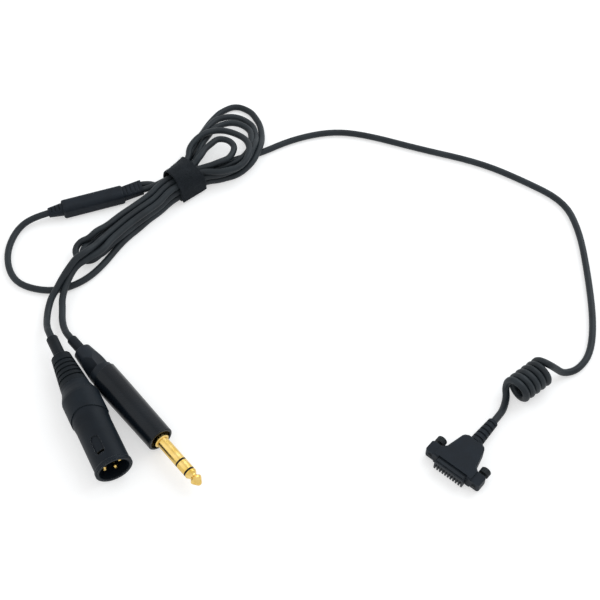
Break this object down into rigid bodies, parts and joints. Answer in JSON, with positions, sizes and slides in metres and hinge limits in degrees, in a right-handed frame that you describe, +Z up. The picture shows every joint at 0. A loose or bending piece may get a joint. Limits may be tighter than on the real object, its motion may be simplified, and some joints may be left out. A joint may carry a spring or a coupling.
{
  "type": "headset connection cable",
  "caption": "Coiled headset cable: a splitter leads to an XLR plug and a jack plug, a strap holds the wound cable, and the other end has a screw-down headset plug.",
  "frame": {"origin": "on the surface the cable lies on, under the middle of its rigid pieces", "axes": "+X along the long way of the set, from the splitter to the headset plug; +Y away from the plugs' open ends; +Z up"},
  "size_m": [0.3364, 0.2717, 0.0205],
  "materials": {
    "cable": "matt pvc jacket",
    "relief": "matt moulded",
    "moulding": "fine satin",
    "strap": "woven hook and loop",
    "shell_black": "satin black",
    "shell_gloss": "gloss black",
    "boot": "satin",
    "insert": "moulded",
    "insulator": "moulded",
    "gold": "gold plated",
    "silver": "nickel plated",
    "screw": "moulded",
    "chuck": "acetal"
  },
  "bodies": {
    "cable_set": {"cable_tail": "cable", "cable_curl": "cable", "cable_run": "cable", "cable_hank": "cable", "cable_loop": "cable", "xlr_branch_hank": "cable", "xlr_branch": "cable", "jack_branch_hank": "cable", "jack_branch": "cable", "cable_strap": "strap", "splitter_body": "moulding", "splitter_relief_main": "relief", "splitter_relief_branches": "relief", "xlr_cable_sleeve": "relief", "xlr_boot": "boot", "xlr_bushing": "shell_black", "xlr_shell": "shell_black", "xlr_insert": "insert", "xlr_pin_1": "gold", "xlr_pin_2": "gold", "xlr_pin_3": "gold", "xlr_chuck": "chuck", "xlr_cable_core": "cable", "jack_cable_sleeve": "relief", "jack_cable_core": "cable", "jack_cable_clamp": "silver", "jack_boot": "boot", "jack_shell": "shell_gloss", "jack_sleeve": "gold", "jack_ring": "gold", "jack_tip": "gold", "jack_ring_insulator": "insulator", "jack_tip_insulator": "insulator", "headset_plug_relief": "relief", "headset_plug_body": "moulding", "headset_contact_block": "moulding", "headset_contacts": "gold"},
    "screw_near": {"headset_screw_near": "screw"},
    "screw_far": {"headset_screw_far": "screw"}
  },
  "joints": [
    {"name": "screw_near_turn", "type": "hinge", "parent": "cable_set", "child": "screw_near", "pos_m": [0.11672, -0.10083, 0.0043], "axis": [-0.6494, -0.7604, 0], "continuous": true},
    {"name": "screw_far_turn", "type": "hinge", "parent": "cable_set", "child": "screw_far", "pos_m": [0.09588, -0.08303, 0.0043], "axis": [-0.6494, -0.7604, 0], "continuous": true}
  ]
}
